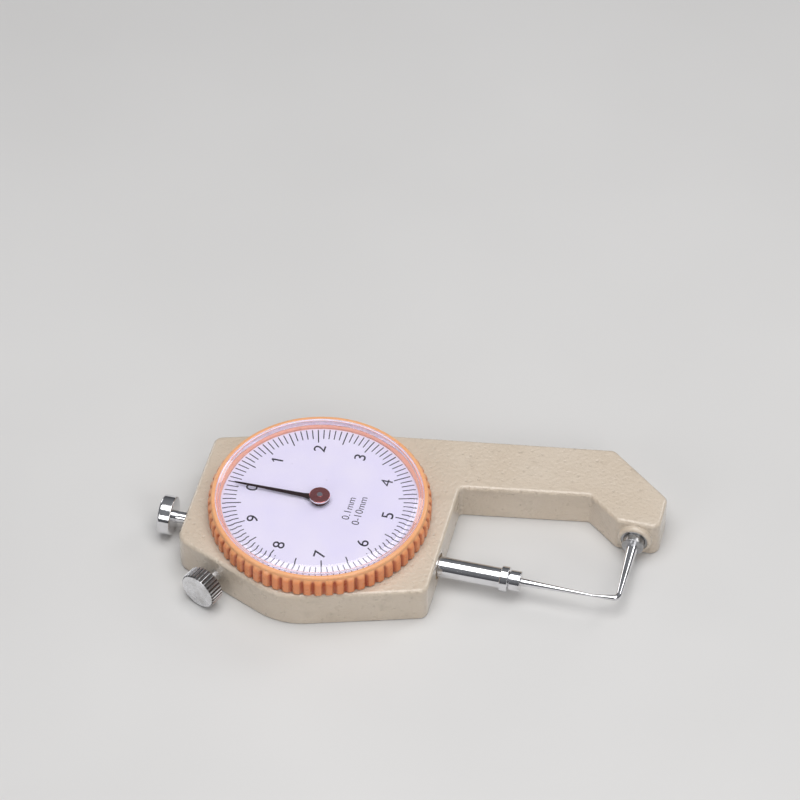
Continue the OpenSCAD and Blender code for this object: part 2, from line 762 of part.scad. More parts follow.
// Rack space, cut from the side of the spindle that faces the rack pinion
module rack_space() {
  root = rack_ded - rack_line;
  tip = -rack_line - rack_add;
  outside = -spindle_d / 2 - past;
  half_pitch_line = (rack_pitch / 2 - backlash) / 2;
  half_root = half_pitch_line + rack_ded * tan(press_angle);
  half_tip = half_pitch_line - rack_add * tan(press_angle);
  run_out = 0.8;
  first = gear_x - (rack_run + run_out) * rack_pitch;
  last = gear_x + (rack_last + run_out) * rack_pitch;
  teeth = [for (k = [-rack_run : rack_last])
    let (x = gear_x + k * rack_pitch)
    each [[x - half_root, root], [x - half_tip, tip], [x + half_tip, tip], [x + half_root, root]]];
  translate([0, -spindle_y, mid_z]) linear_extrude(spindle_d + past, center = true)
    polygon(concat([[first, outside], [first, root]], teeth, [[last, root], [last, outside]]));
}

module spindle_rod() {
  rear_end = button_x + button_l - button_hold;
  color(chrome) difference() {
    union() {
      along_spindle(rear_end) cylinder(h = -shoulder_x - rear_end + past, d = rear_d);
      along_spindle(-shoulder_x) cylinder(h = rod_end + shoulder_x, d = spindle_d);
    }
    rack_space();
    along_spindle(rod_end - stud_l - fit_gap) cylinder(h = stud_l + past, d = stud_d + 2 * fit_gap);
    translate([guide_x, -spindle_y, mid_z - spindle_d / 2 - past])
      cylinder(h = spindle_d / 2 + past, d = pin_d + 2 * fit_gap);
    translate([-spring_pin_x, -spindle_y, mid_z]) rotate([-90, 0, 0])
      cylinder(h = rear_d / 2 + past, d = pin_d + 2 * fit_gap);
  }
}

module lift_button() {
  outer_r = button_d / 2;
  back = [for (a = [90 : -15 : 0]) [outer_r - button_r + button_r * cos(a), button_r - button_r * sin(a)]];
  front = [for (a = [0 : 15 : 90])
    [outer_r - button_lip + button_lip * cos(a), button_l - button_lip + button_lip * sin(a)]];
  profile = concat([[0, 0]], back, front, [[0, button_l]]);
  color(chrome) along_spindle(button_x) difference() {
    rotate_extrude() polygon(profile);
    translate([0, 0, button_l - button_hold - fit_gap])
      cylinder(h = button_hold + past, d = rear_d + 2 * fit_gap);
  }
}

module clamp_ring() {
  color(chrome) along_spindle(rod_end) difference() {
    cylinder(h = ring_l, d = ring_d);
    translate([0, 0, -past]) cylinder(h = ring_l + 2 * past, d = stud_d + 2 * fit_gap);
  }
}

module needle_contact() {
  neck_step = 0.5;
  neck_d = base_d - 2 * neck_step;
  color(chrome) union() {
    along_spindle(rod_end - stud_l) cylinder(h = stud_l + ring_l + past, d = stud_d);
    along_spindle(rod_end + ring_l) cylinder(h = groove_w + past, d = neck_d);
    along_spindle(contact_x) cylinder(h = base_l, d = base_d);
    along_spindle(needle_x) cylinder(h = hook_x - tip_gap - needle_x, d1 = needle_d, d2 = tip_d);
  }
}

module guide_pin() {
  foot = plate_z + end_play;
  color(steel) translate([guide_x, -spindle_y, foot]) cylinder(h = mid_z - foot - fit_gap, d = pin_d);
}

module spring_pin() {
  pin_over = 0.8;
  color(steel) translate([-spring_pin_x, -spindle_y + fit_gap, mid_z]) rotate([-90, 0, 0])
    cylinder(h = spindle_y + return_y + pin_over, d = pin_d);
}

// Half the angle of an involute tooth at radius r
function tooth_half(teeth, module_mm, r) =
  let (pitch_r = teeth * module_mm / 2)
  let (base_r = pitch_r * cos(press_angle))
  let (a = acos(min(1, base_r / r)))
  let (grown = tan(press_angle) - press_angle / deg_per_rad - tan(a) + a / deg_per_rad)
  90 / teeth + (grown - backlash / (2 * pitch_r)) * deg_per_rad;

// Toothed wheel with a tooth centred on +X
module toothed(teeth, module_mm, addendum, dedendum, height) {
  pitch_r = teeth * module_mm / 2;
  radii = [pitch_r - dedendum, pitch_r * cos(press_angle), pitch_r, pitch_r + addendum];
  halves = [for (r = radii) tooth_half(teeth, module_mm, r)];
  outline_points = [for (i = [0 : teeth - 1])
    let (c = i * 360 / teeth)
    each concat(
      [for (k = [0 : 3]) radii[k] * [cos(c - halves[k]), sin(c - halves[k])]],
      [for (k = [3 : -1 : 0]) radii[k] * [cos(c + halves[k]), sin(c + halves[k])]])];
  linear_extrude(height) polygon(outline_points);
}

// Arbor between the plates, with a pivot at each end
module arbor() {
  translate([0, 0, plate_z]) cylinder(h = bridge_top - plate_z, d = pivot_d);
  translate([0, 0, plate_top + end_play]) cylinder(h = bridge_z - plate_top - 2 * end_play, d = arbor_d);
}

// Collar that carries a wheel on its arbor
module wheel_collar() {
  translate([0, 0, wheel_z - free_gap]) cylinder(h = free_gap, d = collar_d);
}

// Wheel with light holes, bored for its arbor
module wheel(dir) {
  light_holes = 5;
  light_r = (wheel_r + collar_d / 2) / 2;
  web = 1.2;
  light_d = wheel_r - collar_d / 2 - 2 * web;
  translate([0, 0, wheel_z]) rotate(dir) difference() {
    toothed(wheel_teeth, wheel_module, wheel_module, root_depth * wheel_module, wheel_t);
    translate([0, 0, -past]) {
      cylinder(h = wheel_t + 2 * past, d = arbor_d + 2 * fit_gap);
      round_places(light_r, [for (i = [0 : light_holes - 1]) i * 360 / light_holes])
        cylinder(h = wheel_t + 2 * past, d = light_d);
    }
  }
}

module rack_pinion() {
  color(steel) translate([gear_x, gear_y, 0]) union() {
    arbor();
    wheel_collar();
    translate([0, 0, mid_z - rack_pinion_l / 2]) rotate(90 + 180 / rack_teeth)
      toothed(rack_teeth, rack_module, rack_add, rack_ded, rack_pinion_l);
  }
}

module drive_wheel() {
  color(brass) translate([gear_x, gear_y, 0]) wheel(drive_dir + 180);
}

module centre_arbor() {
  over = 0.2;
  color(steel) union() {
    translate([0, 0, plate_z]) cylinder(h = plate_t + past, d = pivot_d);
    translate([0, 0, plate_top + end_play]) cylinder(h = arbor_end - plate_top - end_play, d = arbor_d);
    translate([0, 0, wheel_z - over]) rotate(drive_dir + 180 / centre_teeth)
      toothed(centre_teeth, wheel_module, wheel_module, root_depth * wheel_module, wheel_t + 2 * over);
  }
}

module take_up_arbor() {
  color(steel) translate([take_at[0], take_at[1], 0]) union() {
    arbor();
    wheel_collar();
  }
}

module take_up_wheel() {
  color(brass) translate([take_at[0], take_at[1], 0]) wheel(take_dir + 180 + 180 / wheel_teeth);
}

module hairspring_collet() {
  color(brass) translate([take_at[0], take_at[1], wheel_top]) difference() {
    cylinder(h = bridge_z - wheel_top - 2 * end_play, d = collar_d);
    translate([0, 0, -past]) cylinder(h = bridge_z, d = arbor_d + 2 * fit_gap);
  }
}

// Pointer, built up on the centre arbor
module pointer_bush() {
  color(black) translate([0, 0, hub_z]) difference() {
    cylinder(h = hub_h, d = hub_d);
    translate([0, 0, -past]) cylinder(h = hub_h + 2 * past, d = arbor_d + 2 * fit_gap);
  }
}

module pointer_blade() {
  point_l = 1.6;
  shaft_l = pointer_l - point_l;
  color(black) translate([0, 0, blade_z]) rotate(pointer_rest) difference() {
    linear_extrude(pointer_t) union() {
      circle(d = hub_d);
      polygon([[0, -pointer_w / 2], [shaft_l, -pointer_tip_w], [pointer_l, -pointer_tip_w / 2],
        [pointer_l, pointer_tip_w / 2], [shaft_l, pointer_tip_w], [0, pointer_w / 2]]);
    }
    translate([0, 0, -past]) cylinder(h = pointer_t + 2 * past, d = arbor_d + 2 * fit_gap);
  }
}

module pointer_cap() {
  color(chrome) translate([0, 0, cap_z]) difference() {
    cylinder(h = cap_h, d = cap_d);
    translate([0, 0, -past]) cylinder(h = cap_h + 2 * past, d = arbor_d + 2 * fit_gap);
  }
}

// Bezel section, from the skirt's inner foot round the ribs and the rim to the dial seat
module bezel_section() {
  pocket_r = crystal_r + crystal_fit;
  rim_out = bezel_out - rim_step;
  crown = [for (a = [0 : 15 : 90])
    [rim_out - rim_r + rim_r * cos(a), rim_top - rim_r + rim_r * sin(a)]];
  wire_room = wire_d / 2 + free_gap;
  wire_deep = wire_r + wire_d / 2 + free_gap;
  polygon(concat(
    [[bezel_in, skirt_z], [bezel_out, skirt_z], [bezel_out, skirt_top], [rim_out, skirt_top + rim_step]],
    crown,
    [[pocket_r, rim_top], [pocket_r, ledge_top], [ledge_r, ledge_top], [ledge_r, dial_top],
      [bezel_in, dial_top], [bezel_in, wire_z + wire_room], [wire_deep, wire_z + wire_room],
      [wire_deep, wire_z - wire_room], [bezel_in, wire_z - wire_room]]));
}

module bezel_ring() {
  groove_at = bezel_out - rib_depth + rib_groove_r;
  color(orange) difference() {
    rotate_extrude($fn = 128) bezel_section();
    for (i = [0 : rib_count - 1]) rotate(i * 360 / rib_count)
      translate([groove_at, 0, skirt_z]) rotate([0, rib_lean, 0])
        translate([0, 0, -past]) cylinder(h = skirt_h + past, r = rib_groove_r, $fn = 24);
  }
}

module crystal() {
  top_r = crystal_r - crystal_bevel_w;
  side_r = crystal_r - crystal_wall;
  side_top = crystal_shoulder - crystal_t / 2;
  under_r = side_r - crystal_bevel_w * (crystal_under - side_top) / crystal_bevel;
  color(clear) rotate_extrude($fn = 128) polygon([
    [side_r, ledge_top], [crystal_r, ledge_top], [crystal_r, crystal_shoulder], [top_r, crystal_top],
    [0, crystal_top], [0, crystal_under], [under_r, crystal_under], [side_r, side_top]]);
}

module dial_plate() {
  color(white) translate([0, 0, dial_z]) difference() {
    cylinder(h = dial_t, r = dial_r);
    translate([0, 0, -past]) cylinder(h = dial_t + 2 * past, d = dial_hole_d);
  }
}

// Pad with its tip cut parallel to the spindle
module lock_pad() {
  face_y = -spindle_y - rear_d / 2 - pad_gap;
  wide = 4 * pad_d;
  color(brass) difference() {
    along_lock(lock_shank + tip_gap) cylinder(h = lock_run - lock_shank, d = pad_d);
    translate([-case_left, face_y, mid_z - wide / 2]) cube([case_left, case_left, wide]);
  }
}

module lock_screw() {
  head_r = lock_head_d / 2;
  chamfer = 0.4;
  knurl_r = 0.45;
  color(chrome) difference() {
    union() {
      along_lock(-lock_head_gap - past) cylinder(h = lock_head_gap + lock_shank + past, d = lock_d);
      along_lock(-lock_head_gap - lock_head_t) rotate_extrude() polygon([
        [0, 0], [head_r - chamfer, 0], [head_r, chamfer], [head_r, lock_head_t - chamfer],
        [head_r - chamfer, lock_head_t], [0, lock_head_t]]);
    }
    along_lock(-lock_head_gap - lock_head_t - past)
      for (i = [0 : knurl_count - 1]) rotate(i * 360 / knurl_count)
        translate([head_r + knurl_r - knurl_depth, 0, 0])
          cylinder(h = lock_head_t + 2 * past, r = knurl_r, $fn = 16);
  }
}

frame_casting();
back_cover();
back_cover_screws();
front_bush();
rear_bush();
anvil_holder();
anvil_point();
movement_plate();
movement_plate_screws();
pillars();
bridge_plate();
bridge_screws();
lower_pivot_bushes();
upper_pivot_bushes();
spring_post();
return_spring();
hairspring();
hairspring_stud();
bezel_wire();
spindle_rod();
lift_button();
clamp_ring();
needle_contact();
guide_pin();
spring_pin();
rack_pinion();
drive_wheel();
centre_arbor();
pointer_bush();
pointer_blade();
pointer_cap();
take_up_arbor();
take_up_wheel();
hairspring_collet();
bezel_ring();
crystal();
dial_plate();
lock_pad();
lock_screw();
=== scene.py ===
import json
import math

import bmesh
import bpy
from mathutils import Matrix, Vector


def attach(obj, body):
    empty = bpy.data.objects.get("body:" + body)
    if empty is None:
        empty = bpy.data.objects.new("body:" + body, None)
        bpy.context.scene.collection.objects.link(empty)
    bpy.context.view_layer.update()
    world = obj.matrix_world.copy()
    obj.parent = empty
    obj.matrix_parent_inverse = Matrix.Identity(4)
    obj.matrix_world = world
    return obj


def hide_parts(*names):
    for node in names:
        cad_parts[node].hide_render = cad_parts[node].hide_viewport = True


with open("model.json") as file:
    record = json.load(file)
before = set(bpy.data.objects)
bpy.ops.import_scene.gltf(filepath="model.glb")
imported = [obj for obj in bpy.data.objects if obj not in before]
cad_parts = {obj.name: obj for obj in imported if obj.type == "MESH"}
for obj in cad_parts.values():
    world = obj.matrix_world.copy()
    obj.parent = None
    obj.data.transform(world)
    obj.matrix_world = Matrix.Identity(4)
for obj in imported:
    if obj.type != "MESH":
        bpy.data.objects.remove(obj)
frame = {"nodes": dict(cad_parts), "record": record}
nodes = frame["nodes"]
bodyOf = {node: body for body, group in frame["record"]["behaviour"]["bodies"].items() for node in group}
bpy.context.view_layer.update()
mm = 0.001
close = 0.001 * mm  # points nearer than this are one
print("frame loaded,", len(nodes), "nodes")


# Node helpers for the finishes

def startFinish(name, colour, metallic=0.0):
    material = bpy.data.materials.new(name)
    material.use_nodes = True
    material.diffuse_color = (*colour, 1)
    tree = material.node_tree
    shader = tree.nodes["Principled BSDF"]
    shader.inputs["Base Color"].default_value = (*colour, 1)
    shader.inputs["Metallic"].default_value = metallic
    place = tree.nodes.new("ShaderNodeTexCoord").outputs["Object"]
    return material, tree, shader, place


def stretched(tree, place, scale=(1, 1, 1), turn=(0, 0, 0)):
    mapping = tree.nodes.new("ShaderNodeMapping")
    mapping.inputs["Scale"].default_value = scale
    mapping.inputs["Rotation"].default_value = [math.radians(a) for a in turn]
    tree.links.new(place, mapping.inputs["Vector"])
    return mapping.outputs["Vector"]


def noiseField(tree, place, grain, detail):
    noise = tree.nodes.new("ShaderNodeTexNoise")
    noise.inputs["Scale"].default_value = 1 / (grain * mm)  # grain in mm
    noise.inputs["Detail"].default_value = detail
    tree.links.new(place, noise.inputs["Vector"])
    return noise.outputs[0]


def dotField(tree, place, spacing):
    cells = tree.nodes.new("ShaderNodeTexVoronoi")
    cells.inputs["Scale"].default_value = 1 / (spacing * mm)
    tree.links.new(place, cells.inputs["Vector"])
    return cells.outputs["Distance"]


def remap(tree, value, low, high, newLow=0, newHigh=1):
    node = tree.nodes.new("ShaderNodeMapRange")
    ends = {"From Min": low, "From Max": high, "To Min": newLow, "To Max": newHigh}
    for socket, number in ends.items():
        node.inputs[socket].default_value = number
    tree.links.new(value, node.inputs["Value"])
    return node.outputs["Result"]


def cloudField(tree, place, grain, detail, low, high, newLow=0, newHigh=1):
    # noise whose values from low to high become newLow to newHigh
    return remap(tree, noiseField(tree, place, grain, detail), low, high, newLow, newHigh)


def between(tree, value, low, high):
    # 1 between two lengths in mm, 0 outside
    node = tree.nodes.new("ShaderNodeMath")
    node.operation = "COMPARE"
    node.inputs[1].default_value = (low + high) / 2 * mm
    node.inputs[2].default_value = (high - low) / 2 * mm
    tree.links.new(value, node.inputs[0])
    return node.outputs[0]


def mixColours(tree, factor, first, second):
    node = tree.nodes.new("ShaderNodeMix")
    node.data_type = "RGBA"
    for socket, colour in ((node.inputs[6], first), (node.inputs[7], second)):  # the colour sockets
        if isinstance(colour, tuple):
            socket.default_value = (*colour, 1)
        else:
            tree.links.new(colour, socket)
    tree.links.new(factor, node.inputs[0])
    return node.outputs[2]


def multiply(tree, first, second):
    node = tree.nodes.new("ShaderNodeMath")
    node.operation = "MULTIPLY"
    tree.links.new(first, node.inputs[0])
    tree.links.new(second, node.inputs[1])
    return node.outputs[0]


def addBump(tree, shader, height, depth, strength):
    bump = tree.nodes.new("ShaderNodeBump")
    bump.inputs["Distance"].default_value = depth * mm
    bump.inputs["Strength"].default_value = strength
    tree.links.new(height, bump.inputs["Height"])
    if shader.inputs["Normal"].is_linked:
        tree.links.new(shader.inputs["Normal"].links[0].from_socket, bump.inputs["Normal"])
    tree.links.new(bump.outputs["Normal"], shader.inputs["Normal"])


def addSkin(tree, shader, place, grain, detail, depth, strength):
    addBump(tree, shader, noiseField(tree, place, grain, detail), depth, strength)


def heightField(tree, place):
    split = tree.nodes.new("ShaderNodeSeparateXYZ")
    tree.links.new(place, split.inputs[0])
    return split.outputs["Z"]


def grooveField(tree):
    # how deep a point lies in a groove, kept on the piece's own points: the mask for painted shade in the
    # grooves
    node = tree.nodes.new("ShaderNodeAttribute")
    node.attribute_name = "groove"
    return node.outputs["Fac"]


def edgeField(tree, width, samples, flat, edge):
    # 1 on an edge, 0 on a flat: how far a softened normal leans off the true one
    soft = tree.nodes.new("ShaderNodeBevel")
    soft.samples = samples
    soft.inputs["Radius"].default_value = width * mm
    true = tree.nodes.new("ShaderNodeNewGeometry")
    lean = tree.nodes.new("ShaderNodeVectorMath")
    lean.operation = "DOT_PRODUCT"
    tree.links.new(soft.outputs["Normal"], lean.inputs[0])
    tree.links.new(true.outputs["Normal"], lean.inputs[1])
    return remap(tree, lean.outputs["Value"], flat, edge)


def radiusField(tree, place):
    # distance from the dial's axis, in metres
    flat = stretched(tree, place, (1, 1, 0))
    length = tree.nodes.new("ShaderNodeVectorMath")
    length.operation = "LENGTH"
    tree.links.new(flat, length.inputs[0])
    return length.outputs["Value"]


# Finishes

creamPaint = {
    # the pale edge colour is worn paint and a painted highlight on the rounded edges
    "colour": (0.62, 0.52, 0.412), "pale": (0.65, 0.555, 0.45), "edgeWearAndHighlight": (0.84, 0.79, 0.71),
    "dirt": (0.40, 0.33, 0.25),
    "patch": {"grain": 14, "detail": 3, "low": 0.35, "high": 0.65},
    "darkening": {"grain": 5, "detail": 6, "low": 0.60, "high": 0.78, "newHigh": 0.35},
    "edge": {"width": 0.5, "samples": 4, "flat": 0.99, "edge": 0.82},
    "edgeRubAndHighlight": {"grain": 2.5, "detail": 4, "low": 0.35, "high": 0.6, "newLow": 0.25, "newHigh": 0.9},
    "rough": {"grain": 3, "detail": 4, "low": 0.3, "high": 0.7, "newLow": 0.26, "newHigh": 0.38},
    "coat": 0.8, "coatRough": 0.1,
    "peel": {"grain": 0.85, "detail": 2, "depth": 0.34, "strength": 0.9},
    "pits": {"spacing": 2.0, "stain": (0.10, 0.20, 0.22, 0), "dip": (0.08, 0.26),
             "depth": 0.12, "strength": 0.9}}


def makeCreamPaint(s=creamPaint):
    material, tree, shader, place = startFinish("creamPaint", s["colour"])
    colour = mixColours(tree, cloudField(tree, place, **s["patch"]), s["colour"], s["pale"])
    colour = mixColours(tree, cloudField(tree, place, **s["darkening"]), colour, s["dirt"])
    # pale edges: worn paint, and a painted highlight along the rounded edges
    edgeRubAndHighlight = multiply(tree, edgeField(tree, **s["edge"]), cloudField(tree, place, **s["edgeRubAndHighlight"]))
    colour = mixColours(tree, edgeRubAndHighlight, colour, s["edgeWearAndHighlight"])
    pits = dotField(tree, place, s["pits"]["spacing"])
    colour = mixColours(tree, remap(tree, pits, *s["pits"]["stain"]), colour, s["dirt"])
    tree.links.new(colour, shader.inputs["Base Color"])
    tree.links.new(cloudField(tree, place, **s["rough"]), shader.inputs["Roughness"])
    shader.inputs["Coat Weight"].default_value = s["coat"]
    shader.inputs["Coat Roughness"].default_value = s["coatRough"]
    addSkin(tree, shader, place, **s["peel"])
    addBump(tree, shader, remap(tree, pits, *s["pits"]["dip"]), s["pits"]["depth"], s["pits"]["strength"])
    return material


orangePlastic = {
    # the groove colour is painted shade in the grooves; the rim colour is painted light on the ring's top
    "groove": (0.40, 0.06, 0.02), "rib": (0.78, 0.26, 0.10), "rim": (0.85, 0.415, 0.195),
    # the seat colour is a painted reflection of the white dial under the crystal's bevel
    "inner": (0.90, 0.44, 0.32), "seat": (0.92, 0.88, 0.98),
    "faded": (0.93, 0.60, 0.36), "dirt": (0.40, 0.12, 0.05),
    "innerRadius": 26.1, "skirtTop": 14.7, "rimTop": 15.6,
    "seatRadii": (25.4, 26.05), "seatLevels": (14.5, 16.3),
    "cloud": {"grain": 6, "detail": 4, "low": 0.35, "high": 0.7, "newHigh": 0.16},
    "darkening": {"grain": 1.6, "detail": 5, "low": 0.62, "high": 0.8, "newHigh": 0.3},
    "rough": {"grain": 1.2, "detail": 5, "low": 0.3, "high": 0.7, "newLow": 0.24, "newHigh": 0.38},
    "glow": {"Weight": 0.12, "Radius": (1.0, 0.35, 0.15), "Scale": 0.8 * mm},
    "skin": {"grain": 0.5, "detail": 3, "depth": 0.012, "strength": 0.4}}


def makeOrangePlastic(s=orangePlastic):
    material, tree, shader, place = startFinish("orangePlastic", s["rib"])
    radius = radiusField(tree, place)
    height = heightField(tree, place)
    # painted shade: the ribs turn darker deeper in the grooves
    colour = mixColours(tree, grooveField(tree), s["rib"], s["groove"])
    # painted light: the ring turns lighter up onto its rim, where its top catches the light
    colour = mixColours(tree, remap(tree, height, s["skirtTop"] * mm, s["rimTop"] * mm), colour, s["rim"])
    colour = mixColours(tree, between(tree, radius, 0, s["innerRadius"]), colour, s["inner"])
    seat = multiply(tree, between(tree, radius, *s["seatRadii"]), between(tree, height, *s["seatLevels"]))
    colour = mixColours(tree, seat, colour, s["seat"])  # painted reflection: the crystal's seat and pocket wall painted pale lavender, as the white dial would show through the crystal's bevel
    colour = mixColours(tree, cloudField(tree, place, **s["cloud"]), colour, s["faded"])
    colour = mixColours(tree, cloudField(tree, place, **s["darkening"]), colour, s["dirt"])
    tree.links.new(colour, shader.inputs["Base Color"])
    tree.links.new(cloudField(tree, place, **s["rough"]), shader.inputs["Roughness"])
    for name, value in s["glow"].items():
        shader.inputs["Subsurface " + name].default_value = value
    addSkin(tree, shader, place, **s["skin"])
    return material


metalLook = {"cloud": {"grain": 4, "detail": 5, "low": 0.45, "high": 0.75},
             "lineDetail": 3, "lines": (0.3, 0.7), "strength": 0.35, "grooveShadeReach": (0.1, 0.8, 0, 0.92)}


def makeMetal(name, colour, dull, rough, grain, stretch, scratch, darkening=None, bands=(), s=metalLook):
    # polished or brushed metal: clouded colour, uneven roughness, fine lines along one direction
    material, tree, shader, place = startFinish(name, colour, 1.0)
    mixed = mixColours(tree, cloudField(tree, place, **s["cloud"]), colour, dull)
    # painted shade: the knurl darkened deep in its grooves
    if darkening:
        mixed = mixColours(tree, remap(tree, grooveField(tree), *s["grooveShadeReach"]), mixed, darkening)
    # colour bands by height: on the hub, painted shadow low on its side and plain chrome above
    for low, high, tone in bands:
        mixed = mixColours(tree, between(tree, heightField(tree, place), low, high), mixed, tone)
    tree.links.new(mixed, shader.inputs["Base Color"])
    lines = noiseField(tree, stretched(tree, place, stretch), grain, s["lineDetail"])
    tree.links.new(remap(tree, lines, *s["lines"], *rough), shader.inputs["Roughness"])
    addBump(tree, shader, lines, scratch, s["strength"])
    return material


metals = {
    "chrome": {"colour": (0.80, 0.80, 0.82), "dull": (0.64, 0.63, 0.63), "rough": (0.05, 0.15),
               "grain": 0.5, "stretch": (0.15, 1, 1), "scratch": 0.002},
    # the knurl's near-black groove colour is painted shade
    "knurledChrome": {"colour": (0.80, 0.80, 0.82), "dull": (0.52, 0.51, 0.50), "rough": (0.24, 0.36),
                      "grain": 0.4, "stretch": (1, 1, 1), "scratch": 0.004, "darkening": (0.07, 0.065, 0.06)},
    "groundSteel": {"colour": (0.50, 0.50, 0.51), "dull": (0.36, 0.35, 0.34), "rough": (0.24, 0.42),
                    "grain": 0.35, "stretch": (0.08, 1, 1), "scratch": 0.006},
    "brushedSteel": {"colour": (0.58, 0.58, 0.60), "dull": (0.44, 0.43, 0.42), "rough": (0.25, 0.45),
                     "grain": 0.6, "stretch": (1, 0.05, 1), "scratch": 0.006},
    "brass": {"colour": (0.72, 0.52, 0.22), "dull": (0.50, 0.33, 0.13), "rough": (0.20, 0.40),
              "grain": 0.5, "stretch": (0.1, 1, 1), "scratch": 0.005},
    # the hub's red-brown is a painted reflection of red surroundings on chrome; its low dark band is painted
    # shadow under the cap, its pale band the chrome of its side
    "darkHub": {"colour": (0.74, 0.25, 0.235), "dull": (0.55, 0.17, 0.16), "rough": (0.12, 0.24),
                "grain": 0.3, "stretch": (1, 1, 1), "scratch": 0.002,
                "bands": ((15.0, 15.75, (0.08, 0.02, 0.02)), (15.75, 16.22, (0.84, 0.82, 0.81)))},
}

blackPaint = {"colour": (0.016, 0.003, 0.004), "dust": (0.05, 0.02, 0.02), "specular": 0.12,
              "dusty": {"grain": 0.8, "detail": 6, "low": 0.55, "high": 0.8, "newHigh": 0.3},
              "rough": {"grain": 0.6, "detail": 3, "low": 0.3, "high": 0.7, "newLow": 0.3, "newHigh": 0.5},
              "skin": {"grain": 0.25, "detail": 2, "depth": 0.004, "strength": 0.3}}


def makeBlackPaint(s=blackPaint):
    material, tree, shader, place = startFinish("blackPaint", s["colour"])
    colour = mixColours(tree, cloudField(tree, place, **s["dusty"]), s["colour"], s["dust"])
    tree.links.new(colour, shader.inputs["Base Color"])
    shader.inputs["Specular IOR Level"].default_value = s["specular"]
    tree.links.new(cloudField(tree, place, **s["rough"]), shader.inputs["Roughness"])
    addSkin(tree, shader, place, **s["skin"])
    return material


dialInk = {"colour": (0.012, 0.010, 0.018), "faded": (0.16, 0.14, 0.19), "rough": 0.55,
           "thin": {"grain": 0.5, "detail": 4, "low": 0.5, "high": 0.85, "newHigh": 0.25}}


def makeDialInk(s=dialInk):
    material, tree, shader, place = startFinish("dialInk", s["colour"])
    colour = mixColours(tree, cloudField(tree, place, **s["thin"]), s["colour"], s["faded"])
    tree.links.new(colour, shader.inputs["Base Color"])
    shader.inputs["Roughness"].default_value = s["rough"]
    return material


dialWhite = {"colour": (0.84, 0.81, 0.96), "tint": (0.88, 0.85, 0.96), "fleck": (0.45, 0.42, 0.48),
             "cloud": {"grain": 9, "detail": 4, "low": 0.35, "high": 0.65},
             "specks": {"spacing": 5.5, "reach": (0.035, 0.055, 0.6, 0)},
             "rough": {"grain": 1.5, "detail": 4, "low": 0.3, "high": 0.7, "newLow": 0.42, "newHigh": 0.58},
             "skin": {"grain": 0.3, "detail": 2, "depth": 0.003, "strength": 0.3}}


def makeDialWhite(s=dialWhite):
    material, tree, shader, place = startFinish("dialWhite", s["colour"])
    colour = mixColours(tree, cloudField(tree, place, **s["cloud"]), s["colour"], s["tint"])
    speck = remap(tree, dotField(tree, place, s["specks"]["spacing"]), *s["specks"]["reach"])
    colour = mixColours(tree, speck, colour, s["fleck"])
    tree.links.new(colour, shader.inputs["Base Color"])
    tree.links.new(cloudField(tree, place, **s["rough"]), shader.inputs["Roughness"])
    addSkin(tree, shader, place, **s["skin"])
    return material


clearAcrylic = {"colour": (0.985, 0.975, 1.0), "through": (0.97, 0.96, 0.99, 1), "bend": 1.49,
                "scuffLines": {"scale": (1, 0.12, 1), "turn": (0, 0, 35)},
                "scuff": {"grain": 0.7, "detail": 5, "low": 0.5, "high": 0.8,
                          "newLow": 0.01, "newHigh": 0.07},
                "straight": ("Is Diffuse Ray", "Is Shadow Ray", "Is Reflection Ray")}


def makeClearAcrylic(s=clearAcrylic):
    material, tree, shader, place = startFinish("clearAcrylic", s["colour"])
    shader.inputs["Transmission Weight"].default_value = 1.0
    shader.inputs["IOR"].default_value = s["bend"]
    scuff = cloudField(tree, stretched(tree, place, **s["scuffLines"]), **s["scuff"])
    tree.links.new(scuff, shader.inputs["Roughness"])
    # these rays pass straight through, so the dial is lit once and no light is caught inside the acrylic
    through = tree.nodes.new("ShaderNodeBsdfTransparent")
    through.inputs["Color"].default_value = s["through"]
    path = tree.nodes.new("ShaderNodeLightPath")
    surface = shader.outputs[0]
    for ray in s["straight"]:
        mix = tree.nodes.new("ShaderNodeMixShader")
        tree.links.new(path.outputs[ray], mix.inputs[0])
        tree.links.new(surface, mix.inputs[1])
        tree.links.new(through.outputs[0], mix.inputs[2])
        surface = mix.outputs[0]
    tree.links.new(surface, tree.nodes["Material Output"].inputs["Surface"])
    return material


finish = {name: makeMetal(name, **s) for name, s in metals.items()}
finish["creamPaint"] = makeCreamPaint()
finish["orangePlastic"] = makeOrangePlastic()
finish["blackPaint"] = makeBlackPaint()
finish["dialInk"] = makeDialInk()
finish["dialWhite"] = makeDialWhite()
finish["clearAcrylic"] = makeClearAcrylic()
print("finishes made,", len(finish))


# Mesh helpers

def turned(degrees, size=4):
    return Matrix.Rotation(math.radians(degrees), size, "Z")


def addPiece(name, mesh, body, material, slotName, *replaced):
    piece = bpy.data.objects.new(name, mesh)
    bpy.context.scene.collection.objects.link(piece)
    mesh.materials.clear()
    mesh.materials.append(finish[material])
    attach(piece, body)
    if replaced:
        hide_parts(*replaced)
    return piece


def fineEdges(piece, width, angle, segments=2):
    if width:
        bevel = piece.modifiers.new("edges", "BEVEL")
        bevel.width = width * mm
        bevel.segments = segments
        bevel.limit_method = "ANGLE"
        bevel.angle_limit = math.radians(angle)
    piece.modifiers.new("shading", "WEIGHTED_NORMAL").keep_sharp = True


def smoothUnder(bm, angle):
    for face in bm.faces:
        face.smooth = True
    for edge in bm.edges:
        edge.smooth = len(edge.link_faces) == 2 and edge.calc_face_angle(0) < math.radians(angle)


